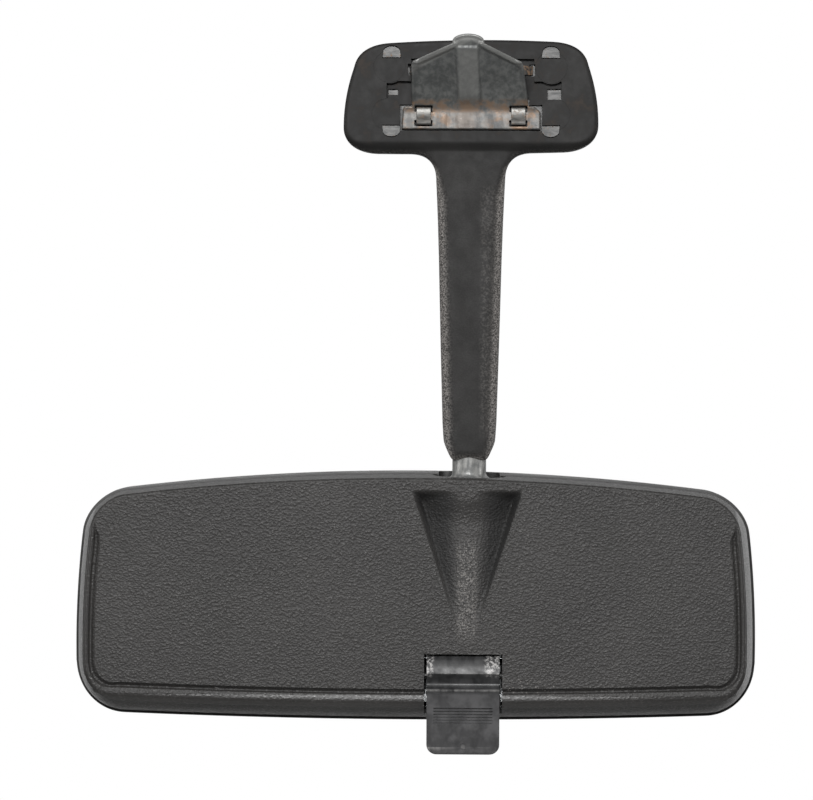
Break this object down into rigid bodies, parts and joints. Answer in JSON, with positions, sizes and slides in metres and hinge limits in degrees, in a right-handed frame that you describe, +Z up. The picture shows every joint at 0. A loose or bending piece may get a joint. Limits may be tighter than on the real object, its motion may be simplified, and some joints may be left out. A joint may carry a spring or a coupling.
{
  "type": "interior rearview mirror",
  "caption": "Vehicle interior mirror: grained rear shell, bezel and wedge glass on a ball joint, with a dip lever, a skinned arm and a clip-in base.",
  "frame": {"origin": "centre of the mounting base's rear face, the face that lies against the windscreen header", "axes": "-Y out of the mounting face, towards the windscreen; +Y into the car, the way the glass looks; +Z up the arm; +X to the right when seen from the windscreen"},
  "size_m": [0.21, 0.043, 0.2191],
  "materials": {
    "arm_skin": "grained integral-skin foam, matt",
    "shell_plastic": "leather-grained moulding",
    "bezel_plastic": "smooth satin moulding",
    "lever_plastic": "smooth satin moulding, worn edges",
    "mirror_glass": "silvered wedge glass",
    "zinc_casting": "dull die-cast zinc, worn bright on its corners",
    "steel": "plain pressed steel",
    "rusty_steel": "spring steel with light rust",
    "nylon": "natural nylon",
    "foam_pad": "soft foam"
  },
  "bodies": {
    "arm": {"arm_skin": "arm_skin", "base_insert_plate": "steel", "arm_core": "zinc_casting", "ball_stud": "zinc_casting", "tongue_leaf_spring": "rusty_steel", "tongue_clip_left": "rusty_steel", "tongue_clip_right": "rusty_steel", "core_rivet_left": "steel", "core_rivet_right": "steel"},
    "tongue": {"mount_tongue": "zinc_casting"},
    "upper_seat": {"upper_ball_seat": "nylon"},
    "lower_seat": {"lower_ball_seat": "nylon"},
    "carrier": {"socket_carrier": "steel", "clamp_plate": "steel", "clamp_screw_left": "steel", "clamp_screw_right": "steel", "clamp_spring_left": "steel", "clamp_spring_right": "steel"},
    "head": {"rear_shell": "shell_plastic", "bezel_frame": "bezel_plastic", "mirror_glass": "mirror_glass", "glass_pad_left": "foam_pad", "glass_pad_right": "foam_pad", "dip_hinge_pin_left": "steel", "dip_hinge_pin_right": "steel", "lever_axle": "steel", "detent_spring": "steel"},
    "lever": {"dip_lever": "lever_plastic", "eccentric_pin": "steel"}
  },
  "joints": [
    {"name": "tongue_spring", "type": "hinge", "parent": "arm", "child": "tongue", "pos_m": [0, 0.0027, -0.0034], "axis": [-1, 0, 0], "range_deg": [0, 4], "stiffness_Nm_per_rad": 1.5, "springref_deg": -1.15},
    {"name": "pan", "type": "hinge", "parent": "arm", "child": "upper_seat", "pos_m": [0, 0.007, -0.1235], "axis": [0, 0, 1], "range_deg": [-25, 25]},
    {"name": "tilt", "type": "hinge", "parent": "upper_seat", "child": "lower_seat", "pos_m": [0, 0.007, -0.1235], "axis": [1, 0, 0], "range_deg": [-16, 16]},
    {"name": "roll", "type": "hinge", "parent": "lower_seat", "child": "carrier", "pos_m": [0, 0.007, -0.1235], "axis": [0, 1, 0], "range_deg": [-10, 10]},
    {"name": "dip", "type": "hinge", "parent": "carrier", "child": "head", "pos_m": [0, 0.007, -0.1235], "axis": [-1, 0, 0], "range_deg": [0, 4.5]},
    {"name": "lever_flip", "type": "hinge", "parent": "head", "child": "lever", "pos_m": [-0.0015, 0, -0.1775], "axis": [-1, 0, 0], "range_deg": [0, 35]}
  ],
  "couplings": [
    {"joint": "lever_flip", "follows": "dip", "ratio": 7.777}
  ]
}
